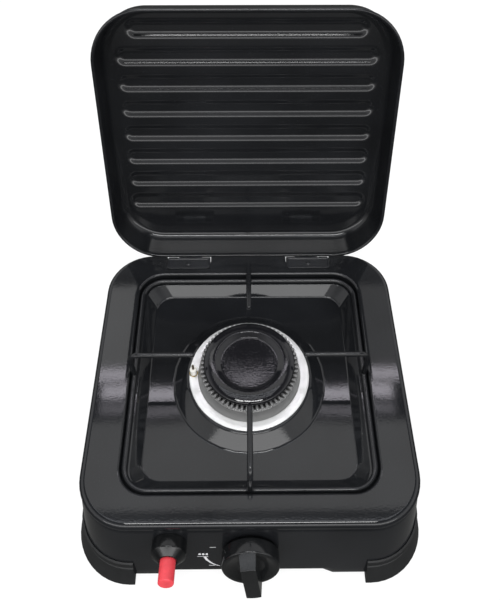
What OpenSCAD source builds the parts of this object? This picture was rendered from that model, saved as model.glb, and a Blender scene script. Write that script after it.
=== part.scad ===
/* [Top plate] */
// Width of the top plate over its rolled edge, mm
top_w = 260; // [250:1:270]
// Depth of the top plate over its rolled edge, mm
top_l = 251; // [245:1:260]
// Plan radius of the top plate corners, mm
corner_r = 40; // [36:1:44]
// Height of the rolled edge's widest line above the table, mm
rim_z = 62; // [58:1:70]
// Radius of the rolled edge of the top plate, mm
roll_r = 5; // [4:0.5:6]
// Thickness of the enamelled steel sheet, mm
sheet = 1.2; // [1:0.1:1.5]

/* [Recess] */
// Width of the recess at the top plate, mm
recess_w = 200; // [190:1:206]
// Depth of the recess front to back, mm
recess_l = 202; // [192:1:208]
// Plan radius of the recess corners, mm
recess_r = 22; // [18:1:26]
// How far the support ledge lies below the top plate, mm
ledge_drop = 7.5; // [6:0.5:9]
// Width of the support ledge, mm
ledge_w = 6.5; // [6:0.5:8]
// How far the tray's floor lies below the top plate, mm
floor_drop = 16.5; // [15:0.5:18]
// How far the tray's sloping walls run inwards, mm
tray_run = 8.6; // [7:0.2:10]
// Radius that rounds the tray's sloping corners, mm
tray_r = 22; // [16:1:24]
// Radius of the raised cone where it leaves the floor, mm
cone_r = 63.3; // [61:0.1:66]
// Height of the raised cone above the floor, mm
cone_h = 10.5; // [9:0.5:12]

/* [Skirt and feet] */
// Outward slope of the front panel, degrees
front_slope = 17; // [12:1:20]
// Outward slope of the side and rear walls, degrees
side_slope = 4; // [2:1:6]
// Height of the skirt's lower edge above the table, mm
skirt_z = 6; // [5:0.5:8]
// How far the front panel's middle is cut away above that edge, mm
front_cut = 5; // [3:0.5:7]
// Height of each foot's outer slope, mm
foot_h = 17.5; // [14:0.5:20]
// How far each foot runs in from the corner along the front, mm
foot_run = 52; // [44:1:58]

/* [Burner] */
// Outer radius of the bright burner ring, mm
ring_r = 50.5; // [49.5:0.5:51.5]
// Outer radius of the toothed crown, mm
crown_r = 40.6; // [40:0.1:41.5]
// Number of flame slots around the crown
slot_n = 60; // [48:2:66]
// Width of one flame slot, mm
slot_w = 1.9; // [1.4:0.1:2.2]
// Outer radius of the burner cap, mm
cap_r = 37.6; // [37:0.1:38.2]
// Radius of the dish in the cap, mm
dish_r = 23.3; // [20:0.1:25]

/* [Pan support] */
// Wire diameter of the pan support, mm
wire_d = 4.6; // [4.2:0.1:4.8]
// Height of the finger wires' middle above the table, mm
finger_z = 95.5; // [90:0.5:96]
// Distance of each finger's inner end from the burner axis, mm
finger_in = 46; // [43:0.5:50]
// Gap between the frame's wire and the recess wall, mm
frame_gap = 0.7; // [0.5:0.1:1]

/* [Lid] */
// How much narrower than the top plate the lid is, mm
lid_side = 5; // [3:1:9]
// How much shorter than the top plate the lid is, mm
lid_short = 17; // [15:1:22]
// Plan radius of the lid corners, mm
lid_r = 45; // [40:1:48]
// Height of the lid from rim to outer face, mm
lid_h = 32.4; // [32:0.2:36]
// Thickness of the lid sheet, mm
lid_t = 1; // [0.8:0.1:1.2]
// Number of pressed ribs across the lid
rib_n = 8; // [6:1:8]
// Depth of the pressed ribs, mm
rib_h = 4.5; // [3:0.5:6]
// Opening angle of the lid, degrees
lid_open = 108; // [100:1:109]

/* [Controls] */
// Knob diameter, mm
knob_d = 43; // [40:0.5:46]
// Thickness of the knob's round body, mm
knob_t = 13; // [11:0.5:14]
// How far the grip bar stands out of the round body, mm
grip_h = 11; // [9:0.5:14]
// Width of the grip bar, mm
grip_w = 11; // [9:0.5:13]
// Radius of the gas inlet's screw end, mm
inlet_r = 6.5; // [6.5:0.1:6.6]
// Length of the gas inlet's screw end, mm
inlet_len = 12; // [10:0.5:14]
// Turn of the grip bar in the off position, degrees
grip_turn = 7; // [0:1:12]
// Diameter of the igniter collar, mm
bezel_d = 26; // [24:0.5:27]
// How far the straight part of the igniter collar stands out, mm
bezel_h = 10.5; // [8:0.5:12]
// Length of the collar's cone round the button, mm
nose_h = 4; // [3:0.5:6]
// Igniter button diameter, mm
button_d = 11.6; // [10:0.1:12]
// How far the button stands out of its collar, mm
button_out = 16.5; // [14:0.5:22]

/* [Fits] */
// Clearance between the lid and the top plate when shut, mm
lid_gap = 0.3; // [0.2:0.1:0.5]
// Radial running clearance of the turning and sliding parts, mm
run_fit = 0.1; // [0.08:0.01:0.15]
// Clearance between formed steel parts that only lie together, mm
lay_gap = 0.3; // [0.2:0.05:0.4]

/* [Hidden] */
$fn = 96;
big = 400;
top_z = rim_z + roll_r;
floor_z = top_z - floor_drop;
ledge_z = top_z - ledge_drop;
hx = top_w / 2;
hy = top_l / 2;
lip = 0.6;
panel_y = -(hy - lip);
tilt = front_slope;
frame_half = min(recess_w, recess_l) / 2 - frame_gap - wire_d / 2;
tray_hw = recess_w / 2 - ledge_w;
tray_hl = recess_l / 2 - ledge_w;
tray_slope = atan(tray_run / (floor_drop - ledge_drop));
ring_z = floor_z + cone_h;
venturi_z = 24;
venturi_bend = 13;
venturi_r = 10.3;
ring_t = 1.6;
crown_z0 = ring_z + ring_t;
crown_z1 = crown_z0 + 16.4;
crown_in = crown_r - 4.2;
crown_foot = crown_r + 2.6;
cup_in = crown_in - 0.4;
cup_depth = 17.2;
hole_r = cup_in + 3.6;
throat_r = venturi_r - 0.7;
throat_z = ring_z - cup_depth - 4;
slot_h = 5;
cap_seat = crown_z1;
axis_y = hy - 3;
axis_z = rim_z - 2.2;
lid_rear = axis_y + 1;
lid_z = top_z + lid_gap;
lid_w = top_w - lid_side;
lid_l = top_l - lid_short;
lid_cy = lid_rear - lid_l / 2;
lid_draft = 6.8;
rib_w = 14.6;
rib_flat = 8.6;
rib_half = lid_w / 2 - 14;
hinge_x = 56.5;
hinge_w = 40;
knob_z = rim_z - 26;
igniter_z = rim_z - 16.5;
igniter_x = -60;
igniter_l = 46;
igniter_r = 9;
igniter_in = 31;
igniter_neck = 7.5;
lead_r = 1.5;
lead_boss = 5;
electrode_x = -46.9;
electrode_y = 1;
ceramic_z = 44;
ceramic_r = 3;
ceramic_l = 25.5;
pin_r = 1;
pipe_x = 62;
pipe_r = 3;
inlet_z = 24;
valve_back = 39.5;
valve_y = panel_y - (rim_z - inlet_z) * tan(front_slope) + valve_back;
venturi_end = valve_y + 16;
flare_l = 7;
bracket_w = 34;
bracket_y = max(-cone_r - 5, venturi_end + flare_l + 2);
knob_stand = 1.5;

// ---- shared shapes ----

function wall_y(z) = panel_y - (rim_z - z) * tan(front_slope);
function rear_y(z) = hy - lip + (rim_z - z) * tan(side_slope);
function side_x(z) = hx - lip + (rim_z - z) * tan(side_slope);

module round_rect(hw, hl, r) {
  square([2 * hw, 2 * (hl - r)], center = true);
  square([2 * (hw - r), 2 * hl], center = true);
  for (sx = [-1, 1])
    for (sy = [-1, 1])
      translate([sx * (hw - r), sy * (hl - r)]) circle(r);
}

// sweeps a profile around a rounded rectangle, the profile's x counted from
// the corner centres outwards
module around(cx, cy) {
  for (a = [0, 180]) {
    rotate(a) translate([cx, 0, 0]) rotate([90, 0, 0])
      linear_extrude(2 * cy, center = true) children();
    rotate(a) translate([0, cy, 0]) rotate([90, 0, 90])
      linear_extrude(2 * cx, center = true) children();
  }
  for (m = [0, 1])
    mirror([m, 0, 0]) {
      translate([cx, cy, 0]) rotate_extrude(angle = 90) children();
      translate([cx, -cy, 0]) rotate(-90) rotate_extrude(angle = 90) children();
    }
}

// a four-sided block with sloping walls and rounded upright corners; o sets
// every wall inwards by that much, all measured at the rolled edge's height
module sloped(z0, z1, o, xs, yf, yb, f, s, r) {
  b = s;
  function xo(z) = xs + (rim_z - z) * tan(s) - o / cos(s);
  function fo(z) = -(yf + (rim_z - z) * tan(f) - o / cos(f));
  function bo(z) = yb + (rim_z - z) * tan(b) - o / cos(b);
  difference() {
    intersection() {
      rotate([90, 0, 90]) linear_extrude(big, center = true)
        polygon([[fo(z0), z0], [bo(z0), z0], [bo(z1), z1], [fo(z1), z1]]);
      rotate([90, 0, 0]) linear_extrude(big, center = true)
        polygon([[-xo(z0), z0], [xo(z0), z0], [xo(z1), z1], [-xo(z1), z1]]);
    }
    for (m = [0, 1])
      mirror([m, 0, 0]) {
        corner_cut(xs, yf, f, s, r, o);
        mirror([0, 1, 0]) corner_cut(xs, yb, b, s, r, o);
      }
  }
}

module corner_cut(xs, ys, f, s, r, o) {
  ang = acos(sin(f) * sin(s));
  w = 60;
  translate([xs - r / cos(s), -(ys - r / cos(f)), rim_z])
    rotate([-f, 0, 0]) rotate([0, -atan(tan(s) * cos(f)), 0])
      difference() {
        translate([0, 0, -110]) linear_extrude(150)
          polygon([[0, 0], [0, -w], [w, -w], [w * sin(ang), -w * cos(ang)]]);
        translate([0, 0, -111]) cylinder(r = r - o, h = 152);
      }
}

module skirt_block(o, z0, z1) {
  sloped(z0, z1, o, hx - lip, hy - lip, hy - lip, front_slope, side_slope, corner_r);
}

// local frame on the front panel: +z straight out of it, +y up along it
module on_panel(x, z) {
  translate([x, wall_y(z), z]) rotate([90 - tilt, 0, 0]) children();
}

// puts what is drawn for the shut lid into its open position
module lid_opened() {
  translate([0, axis_y, axis_z]) rotate([-lid_open, 0, 0])
    translate([0, -axis_y, -axis_z]) children();
}

// ---- body ----

module roll_profile() {
  r = roll_r;
  c = corner_r - r;
  intersection() {
    translate([c, rim_z]) difference() {
      circle(r);
      circle(r - sheet);
    }
    translate([c, rim_z]) square([r + 1, r + 1]);
  }
  // turned in under the roll, where the skirt joins
  translate([corner_r - 4.5, rim_z - sheet]) square([4.5, sheet]);
}

// the recess wall's section: an eased upper edge and an upright wall
module recess_profile() {
  r = recess_r;
  e = 2;
  intersection() {
    translate([r + e, top_z - e]) difference() {
      circle(e);
      circle(e - sheet);
    }
    translate([r, top_z - e]) square([e, e]);
  }
  translate([r, ledge_z - sheet]) square([sheet, top_z - e - ledge_z + sheet]);
}

// the tray's sloping walls; o sets them inwards
module tray_block(o, z0, z1) {
  d = (rim_z - ledge_z) * tan(tray_slope);
  sloped(z0, z1, o, tray_hw + d, tray_hl + d, tray_hl + d, -tray_slope, -tray_slope, tray_r);
}

module tray() {
  difference() {
    union() {
      translate([0, 0, ledge_z - sheet]) linear_extrude(sheet)
        round_rect(recess_w / 2 + sheet / 2, recess_l / 2 + sheet / 2, recess_r + sheet / 2);
      tray_block(-sheet, floor_z - sheet, ledge_z - sheet / 2);
    }
    tray_block(0, floor_z, ledge_z + 1);
    cylinder(r = cone_r + 3, h = big, center = true);
  }
}

module raised_cone() {
  t = sheet;
  rotate_extrude()
    polygon([
      [cone_r + 6, floor_z], [cone_r, floor_z], [ring_r + 1.6, ring_z], [hole_r, ring_z],
      [hole_r, ring_z - t], [ring_r + 0.9, ring_z - t], [cone_r - 0.7, floor_z - t],
      [cone_r + 6, floor_z - t]
    ]);
}

module body_shell() {
  color("#1b1c1f") difference() {
    union() {
      around(hx - corner_r, hy - corner_r) roll_profile();
      translate([0, 0, top_z - sheet]) linear_extrude(sheet) difference() {
        round_rect(hx - roll_r, hy - roll_r, corner_r - roll_r);
        round_rect(recess_w / 2 + 2, recess_l / 2 + 2, recess_r + 2);
      }
      around(recess_w / 2 - recess_r, recess_l / 2 - recess_r) recess_profile();
      tray();
      raised_cone();
      difference() {
        skirt_block(0, skirt_z, rim_z - sheet / 2);
        skirt_block(sheet, skirt_z - 1, rim_z + 1);
      }
    }
    // raised lower edge in the middle of the front
    translate([0, -hy - 10, 0]) rotate([90, 0, 0]) linear_extrude(80, center = true)
      polygon([[-72, 0], [-64, skirt_z + front_cut], [56, skirt_z + front_cut], [64, 0]]);
    // the same on the rear
    translate([0, hy, 0]) rotate([90, 0, 0]) linear_extrude(40, center = true)
      polygon([[-72, 0], [-64, skirt_z + front_cut], [64, skirt_z + front_cut], [72, 0]]);
    // control openings
    on_panel(0, knob_z) cylinder(r = 6 + lay_gap, h = 12, center = true);
    on_panel(igniter_x, igniter_z) cylinder(r = igniter_neck + lay_gap, h = 12, center = true);
    // gas inlet opening
    translate([pipe_x, hy, inlet_z]) rotate([90, 0, 0])
      cylinder(r = 5 + lay_gap, h = 30, center = true);
    // electrode opening
    translate([electrode_x, electrode_y, ring_z - 6]) cylinder(r = ceramic_r + 0.8, h = 12);
    // hinge notches through the rear edge
    for (s = [-1, 1])
      translate([s * hinge_x - hinge_w / 2 - 1, axis_y - 7, axis_z - 5.8])
        cube([hinge_w + 2, 30, 30]);
  }
}

// ---- feet ----

module foot_block(o, z0, z1) {
  d = rim_z - foot_h;
  sloped(z0, z1, o, side_x(foot_h) + 1 - d * tan(15), -wall_y(foot_h) + 2.6 - d * tan(25),
         rear_y(foot_h) + 1 - d * tan(15), 25, 15, corner_r + 1);
}

module foot_ring() {
  difference() {
    union() {
      foot_block(0, 0, foot_h);
      skirt_block(-1.6, 0, foot_h + 4);
    }
    skirt_block(14, -1, skirt_z);
    difference() {
      skirt_block(-0.1, skirt_z, 40);
      difference() {
        skirt_block(sheet + 0.3, skirt_z - 1, 14);
        skirt_block(sheet + 2.5, skirt_z - 2, 15);
      }
    }
  }
}

module foot(sx, sy) {
  color("#26282b") intersection() {
    foot_ring();
    x0 = side_x(0) + 8 - foot_run;
    y0 = sy < 0 ? 90 : 84;
    translate([sx > 0 ? x0 : -x0 - 100, sy > 0 ? y0 : -y0 - 100, -1]) cube([100, 100, 40]);
  }
}

module foot_front_left() foot(-1, -1);
module foot_front_right() foot(1, -1);
module foot_rear_left() foot(-1, 1);
module foot_rear_right() foot(1, 1);

// ---- hinges ----

module hinge_bracket(s) {
  color("#202225") translate([s * hinge_x, 0, 0]) {
    difference() {
      union() {
        // plate on the flange, its rear end turned down towards the pin
        translate([0, 0, top_z]) linear_extrude(1.6) hinge_plate();
        rotate([90, 0, 90]) linear_extrude(hinge_w, center = true) {
          difference() {
            translate([axis_y, axis_z]) circle(3.6);
            translate([axis_y, axis_z]) circle(1.5);
          }
          // the rear end, turned down in front of the lid's rim
          translate([axis_y - 4.5, axis_z]) square([1.6, top_z + 1.6 - axis_z]);
        }
      }
      // room for the strap's own knuckle
      translate([-11 - lay_gap, axis_y - 8, axis_z - 12])
        cube([22 + 2 * lay_gap, 20, 12 + top_z - axis_z - 1.5]);
      rotate([90, 0, 90]) translate([axis_y, axis_z, 0])
        cylinder(r = 1.5, h = 60, center = true);
    }
  }
}

module hinge_plate() {
  y0 = axis_y - 15;
  y1 = axis_y - 3.5;
  difference() {
    translate([-hinge_w / 2, y0]) square([hinge_w, y1 - y0]);
    for (m = [-1, 1])
      translate([m * (hinge_w / 2 - 3), y0 + 3]) difference() {
        translate([m > 0 ? 0 : -4, -4]) square([4, 4]);
        circle(3);
      }
  }
}

module hinge_bracket_left() hinge_bracket(-1);
module hinge_bracket_right() hinge_bracket(1);

module hinge_pin(s) {
  color("#b9bcc0") translate([s * hinge_x, axis_y, axis_z]) rotate([0, 90, 0])
    cylinder(r = 1.5, h = hinge_w, center = true);
}

module hinge_pin_left() hinge_pin(-1);
module hinge_pin_right() hinge_pin(1);

// ---- burner ----

module burner_cup() {
  z = ring_z;
  zb = z - cup_depth;
  color("#d9dbdc") difference() {
    rotate_extrude() {
      polygon([
        [cup_in, z], [ring_r - 0.8, z], [ring_r, z + 0.5], [ring_r, z + ring_t - 0.6],
        [ring_r - 0.8, z + ring_t], [cup_in, z + ring_t]
      ]);
      polygon([
        [cup_in + 2, z + ring_t], [cup_in, z + ring_t], [cup_in - 1, zb + 2.2],
        [throat_r - 2, zb - 1.8], [throat_r - 2, throat_z - 2.8], [throat_r, throat_z - 2.8],
        [throat_r, throat_z], [cup_in + 0.5, zb], [cup_in + 2, z]
      ]);
    }
    translate([electrode_x, electrode_y, z - 4]) cylinder(r = ceramic_r + 0.4, h = 12);
  }
}

module burner_crown() {
  z0 = crown_z0;
  z1 = crown_z1;
  color("#cfd2d4") difference() {
    rotate_extrude()
      polygon([
        [crown_in, z0], [crown_foot, z0], [crown_foot, z0 + 1.2], [crown_r + 0.6, z0 + 9],
        [crown_r, z0 + 11], [crown_r, z1], [crown_in, z1]
      ]);
    for (i = [0:slot_n - 1])
      rotate(i * 360 / slot_n) translate([crown_in - 2.4, -slot_w / 2, z1 - slot_h])
        cube([10, slot_w, slot_h + 3]);
  }
}

module burner_cap() {
  z = cap_seat;
  edge = 2.6;
  color("#17181a") rotate_extrude() {
    difference() {
      union() {
        translate([cap_r - edge, z + edge]) circle(edge);
        polygon([
          [0, z + 0.2], [cap_r - edge, z], [cap_r - edge, z + 2 * edge], [dish_r + 4, z + 6.6],
          [dish_r + 1.5, z + 6.2], [dish_r - 1.5, z + 4], [0, z + 3.4]
        ]);
        translate([0, z - 4]) square([crown_in - 0.5, 4.2]);
      }
      translate([0, z - 5]) square([crown_in - 4.4, 5]);
    }
  }
}

module burner_clamp() {
  z = ring_z - sheet;
  color("#9a9da0") difference() {
    translate([0, 0, z - 1.5]) cylinder(r = ring_r - 2.5, h = 1.5);
    translate([0, 0, z - 2]) cylinder(r = cup_in + 2.4, h = 3);
    translate([electrode_x, electrode_y, z - 3]) cylinder(r = ceramic_r + 0.8, h = 6);
  }
}

module venturi_path(r, flare) {
  b = venturi_bend;
  len = -b - venturi_end;
  translate([0, 0, venturi_z + b]) cylinder(r = r, h = throat_z - 0.4 - venturi_z - b);
  translate([0, -b, venturi_z + b]) rotate([0, 90, 0])
    rotate_extrude(angle = 90) translate([b, 0]) circle(r);
  // the level run, with the flared air inlet around the injector
  translate([0, -b, venturi_z]) rotate([90, 0, 0]) rotate_extrude()
    polygon([[0, 0], [r, 0], [r, len - flare_l], [r + flare, len], [0, len]]);
}

module venturi_tube() {
  color("#a8abae") difference() {
    venturi_path(venturi_r + 0.6, 3.4);
    venturi_path(venturi_r - 0.4, 3.4);
  }
}

module venturi_bracket() {
  // an upright plate round the tube behind its flare, its flange against the tray's floor
  y = bracket_y;
  w = bracket_w;
  color("#9a9da0") {
    difference() {
      translate([-w / 2, y - 1, venturi_z - 15])
        cube([w, 2, floor_z - sheet - venturi_z + 15]);
      translate([0, y, venturi_z]) rotate([90, 0, 0])
        cylinder(r = venturi_r + 0.6 + run_fit, h = 6, center = true);
    }
    translate([-w / 2, y - 15, floor_z - sheet - 2]) cube([w, 16, 2]);
  }
}

module injector() {
  color("#c9a24a") difference() {
    translate([0, valve_y + 5, venturi_z]) rotate([90, 0, 180]) {
      cylinder(r = 4, h = 6);
      translate([0, 0, 6]) cylinder(r = 5.5, h = 4, $fn = 6);
      translate([0, 0, 10]) cylinder(r1 = 3.2, r2 = 1.8, h = 4);
    }
    translate([0, valve_y + 4, venturi_z]) rotate([90, 0, 180]) cylinder(r = 0.8, h = 20);
  }
}

// ---- gas train ----

module gas_valve() {
  color("#b8964c") difference() {
    union() {
      on_panel(0, knob_z) {
        translate([0, 0, -32]) cylinder(r = 10.5, h = 32 - sheet);
        cylinder(r = 6, h = 5);
        translate([0, 0, -sheet - 0.5]) cylinder(r = 6, h = sheet + 1);
      }
      translate([-9, valve_y - 9, venturi_z - 9]) cube([18, 18, 18]);
    }
    on_panel(0, knob_z) translate([0, 0, -22]) cylinder(r = 3 + run_fit, h = 40);
    translate([0, valve_y + 4, venturi_z]) rotate([90, 0, 180]) cylinder(r = 4, h = 20);
    translate([3, valve_y, venturi_z]) rotate([0, 90, 0]) cylinder(r = pipe_r, h = 20);
  }
}

module valve_nut() {
  color("#b9bcc0") on_panel(0, knob_z) difference() {
    cylinder(r = 9.4, h = 3, $fn = 6);
    translate([0, 0, -1]) cylinder(r = 6, h = 6);
  }
}

module valve_spindle() {
  color("#c6c9cc") on_panel(0, knob_z) difference() {
    translate([0, 0, -21.7]) cylinder(r = 3, h = 21.7 + 13);
    translate([-5, 1.8, 5.5]) cube([10, 5, 12]);
  }
}

module gas_pipe() {
  y1 = rear_y(inlet_z) - sheet - 9;
  b = 14;
  color("#c4c7ca") {
    difference() {
      union() {
        translate([9 - 5, valve_y, inlet_z]) rotate([0, 90, 0])
          cylinder(r = pipe_r, h = pipe_x - b - 4);
        translate([pipe_x - b, valve_y + b, inlet_z]) rotate([0, 0, -90])
          rotate_extrude(angle = 90) translate([b, 0]) circle(pipe_r);
        translate([pipe_x, valve_y + b, inlet_z]) rotate([-90, 0, 0])
          cylinder(r = pipe_r, h = y1 - valve_y - b);
      }
      translate([3, valve_y, inlet_z]) rotate([0, 90, 0]) cylinder(r = 2, h = pipe_x - b - 3);
      translate([pipe_x - b, valve_y + b, inlet_z]) rotate([0, 0, -90])
        rotate_extrude(angle = 90) translate([b, 0]) circle(2);
      translate([pipe_x, valve_y + b, inlet_z]) rotate([-90, 0, 0])
        cylinder(r = 2, h = y1 - valve_y);
    }
  }
}

module gas_inlet() {
  y = rear_y(inlet_z);
  color("#c9a24a") translate([pipe_x, 0, inlet_z]) rotate([-90, 0, 0]) difference() {
    union() {
      translate([0, 0, y - sheet - 15]) cylinder(r = 5, h = 20);
      translate([0, 0, y + 1]) cylinder(r = 9.8, h = 5, $fn = 6);
      translate([0, 0, y + 6]) cylinder(r = inlet_r, h = inlet_len);
    }
    cylinder(r = pipe_r, h = y - sheet - 9);
    cylinder(r = 2, h = y + 40);
    // cone seat for the hose tail
    translate([0, 0, y + 4 + inlet_len]) cylinder(r1 = 2, r2 = 4.6, h = 3);
  }
}

module inlet_nut() {
  y = rear_y(inlet_z);
  color("#b9bcc0") translate([pipe_x, 0, inlet_z]) rotate([-90, 0, 0]) difference() {
    translate([0, 0, y - sheet - 5]) cylinder(r = 8, h = 4, $fn = 6);
    cylinder(r = 5, h = 200);
  }
}

// ---- igniter ----

// the lead's start at the igniter's rear end, +x along its level run
function lead_z() = igniter_z - igniter_l * sin(tilt);
function lead_y() = wall_y(igniter_z) + igniter_l * cos(tilt);
function lead_turn() = atan2(electrode_y - lead_y(), electrode_x - igniter_x);
module lead_start() {
  translate([igniter_x, lead_y(), lead_z()]) rotate(lead_turn()) children();
}

module igniter_body() {
  color("#e8e6e0") {
    on_panel(igniter_x, igniter_z) difference() {
      union() {
        translate([0, 0, -sheet - 2]) cylinder(r = igniter_r + 2, h = 2);
        translate([0, 0, -igniter_l]) cylinder(r = igniter_r, h = igniter_l - sheet);
        translate([0, 0, -sheet - 0.5]) cylinder(r = igniter_neck, h = sheet + 6.5);
      }
      translate([0, 0, -igniter_in]) cylinder(r = button_d / 2 + run_fit, h = 60);
    }
    // terminal that the lead is moulded to
    lead_start() rotate([0, 90, 0]) translate([0, 0, -4]) cylinder(r = 2.8, h = 4 + lead_boss);
  }
}

module igniter_collar() {
  color("#1d1e20") on_panel(igniter_x, igniter_z) difference() {
    union() {
      cylinder(r = bezel_d / 2, h = bezel_h);
      translate([0, 0, bezel_h]) cylinder(r1 = bezel_d / 2 - 0.6, r2 = button_d / 2 + 1.4, h = nose_h);
    }
    translate([0, 0, -1]) cylinder(r = igniter_neck, h = 7);
    translate([0, 0, -1]) cylinder(r = button_d / 2 + run_fit, h = bezel_h + nose_h + 2);
  }
}

module igniter_button() {
  h = bezel_h + nose_h + button_out;
  color("#d8333a") on_panel(igniter_x, igniter_z) {
    translate([0, 0, 10 - igniter_in]) cylinder(r = button_d / 2, h = h - 11 + igniter_in);
    translate([0, 0, h - 1]) cylinder(r1 = button_d / 2, r2 = button_d / 2 - 1, h = 1);
  }
}

module ignition_lead() {
  dx = electrode_x - igniter_x;
  dy = electrode_y - lead_y();
  len = sqrt(dx * dx + dy * dy);
  b = 10;
  z = lead_z();
  color("#2a2b2e") lead_start() {
    translate([lead_boss, 0, 0]) rotate([0, 90, 0]) cylinder(r = lead_r, h = len - b - lead_boss);
    translate([len - b, 0, b]) rotate([90, 0, 0]) rotate(-90)
      rotate_extrude(angle = 90) translate([b, 0]) circle(lead_r);
    translate([len, 0, b]) cylinder(r = lead_r, h = ceramic_z - z - b);
  }
}

module electrode_ceramic() {
  color("#f1efe9") translate([electrode_x, electrode_y, 0]) difference() {
    union() {
      translate([0, 0, ceramic_z]) cylinder(r = ceramic_r, h = ceramic_l);
      translate([0, 0, ceramic_z + ceramic_l]) cylinder(r1 = ceramic_r, r2 = ceramic_r - 0.8, h = 1);
    }
    cylinder(r = pin_r, h = 100);
  }
}

module electrode_pin() {
  color("#6f6a62") translate([electrode_x, electrode_y, ceramic_z])
    cylinder(r = pin_r, h = ceramic_l + 6);
}

module electrode_clip() {
  color("#8b7a4a") translate([electrode_x, electrode_y, crown_z0]) difference() {
    cylinder(r = ceramic_r + 0.6, h = 0.6);
    translate([0, 0, -1]) cylinder(r = ceramic_r, h = 3);
  }
}

// ---- pan support ----

module pan_support() {
  rf = wire_d / 2;
  r = rf - 0.1;
  z0 = ledge_z + rf;
  c = recess_r - frame_gap - rf;
  h = frame_half;
  b = 8;
  color("#15161a") {
    around(h - c, h - c) translate([c, z0]) circle(rf);
    for (a = [0:90:270])
      rotate(a) {
        translate([h, 0, z0]) cylinder(r = r, h = finger_z - z0 - b);
        translate([h - b, 0, finger_z - b]) rotate([90, 0, 0])
          rotate_extrude(angle = 90) translate([b, 0]) circle(r);
        translate([finger_in, 0, finger_z]) rotate([0, 90, 0])
          cylinder(r = r, h = h - b - finger_in);
        translate([finger_in, 0, finger_z]) sphere(r);
      }
  }
}

// ---- lid ----

module lid_wall() {
  difference() {
    lid_half(0);
    lid_half(lid_t);
  }
}

// the lid's section out to its wall, set inwards by t
module lid_half(t) {
  k = lid_draft;
  b = 8;
  cz = lid_h - b;
  cx = lid_r - cz * tan(k) - b / cos(k);
  polygon([
    [0, t > 0 ? -1 : 0], [lid_r - t / cos(k) + (t > 0 ? tan(k) : 0), t > 0 ? -1 : 0],
    [cx + (b - t) * cos(k), cz + (b - t) * sin(k)], [cx, cz], [cx, lid_h - t], [0, lid_h - t]
  ]);
  translate([cx, cz]) intersection() {
    circle(b - t);
    square([b, b]);
  }
}

module lid_rim() {
  translate([lid_r - 1.2, 1.5]) circle(1.5);
}

module rib(w1, w2, h, half) {
  for (s = [-1, 1])
    translate([s * (half - w1 / 2), 0, 0]) cylinder(r1 = w1 / 2, r2 = w2 / 2, h = h);
  rotate([90, 0, 90]) linear_extrude(2 * half - w1, center = true)
    polygon([[-w1 / 2, 0], [w1 / 2, 0], [w2 / 2, h], [-w2 / 2, h]]);
}

function rib_y(i) = lid_rear - 33.8 - i * 23.5 * 7 / (rib_n - 1);

module lid_shut() {
  cx = lid_w / 2 - lid_r;
  cy = lid_l / 2 - lid_r;
  difference() {
    union() {
      translate([0, lid_cy, lid_z]) {
        around(cx, cy) lid_wall();
        around(cx, cy) lid_rim();
        translate([0, 0, lid_h - lid_t]) linear_extrude(lid_t)
          square([2 * cx + 1, 2 * cy + 1], center = true);
      }
      for (i = [0:rib_n - 1])
        translate([0, rib_y(i), lid_z + lid_h - 0.5])
          rib(rib_w, rib_flat, rib_h + 0.5, rib_half);
    }
    for (i = [0:rib_n - 1])
      translate([0, rib_y(i), lid_z + lid_h - lid_t - 1])
        rib(rib_w - 1.4, rib_flat - 1.8, rib_h + 1, rib_half - 1);
  }
}

module lid() {
  color("#17181b") lid_opened() lid_shut();
}

module strap_shut(s) {
  x = s * hinge_x;
  k = lid_draft;
  z1 = lid_z + 5;
  z2 = lid_z + 20;
  g = 0.05;
  function wy(z) = lid_rear - (z - lid_z) * tan(k) + g / cos(k);
  translate([x, 0, 0]) rotate([90, 0, 90]) linear_extrude(22, center = true)
    difference() {
      union() {
        translate([axis_y, axis_z]) circle(3.4);
        polygon([
          [axis_y + 1.7, axis_z], [axis_y + 3.4, axis_z], [axis_y + 3.4, lid_z + 3],
          [wy(z1) + 1.4, z1 + 2], [wy(z2) + 1.4, z2], [wy(z2), z2], [wy(z1), z1],
          [axis_y + 1.7, lid_z + 3.2]
        ]);
      }
      translate([axis_y, axis_z]) circle(1.5 + run_fit);
    }
}

module lid_strap_left() color("#8f9296") lid_opened() strap_shut(-1);
module lid_strap_right() color("#8f9296") lid_opened() strap_shut(1);

// ---- knob ----

module knob() {
  r = knob_d / 2;
  t = knob_stand + knob_t;
  color("#1f2023") on_panel(0, knob_z) rotate(grip_turn) difference() {
    union() {
      difference() {
        union() {
          translate([0, 0, knob_stand]) cylinder(r = r - 0.8, h = 2);
          translate([0, 0, knob_stand + 2]) cylinder(r = r, h = knob_t - 3);
          translate([0, 0, t - 1]) cylinder(r1 = r, r2 = r - 1, h = 1);
        }
        // the dished face beside the grip
        translate([0, 0, t - 2.5]) cylinder(r1 = r / 2, r2 = r - 3, h = 2.6);
      }
      intersection() {
        translate([0, 0, t - 4]) cylinder(r = r - 0.5, h = grip_h + 4);
        rotate([90, 0, 0]) linear_extrude(knob_d, center = true)
          polygon([
            [-grip_w / 2 - 1, t - 4], [grip_w / 2 + 1, t - 4], [grip_w / 2, t + grip_h - 2],
            [grip_w / 2 - 2, t + grip_h], [-grip_w / 2 + 2, t + grip_h],
            [-grip_w / 2, t + grip_h - 2]
          ]);
      }
    }
    cylinder(r = 11, h = 6);
    cylinder(r = 5, h = 16);
  }
}

module knob_insert() {
  color("#b9bcc0") on_panel(0, knob_z) difference() {
    translate([0, 0, 6]) cylinder(r = 5, h = 10);
    difference() {
      translate([0, 0, 5]) cylinder(r = 3, h = 8);
      translate([-5, 1.8, 4]) cube([10, 5, 12]);
    }
  }
}

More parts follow.
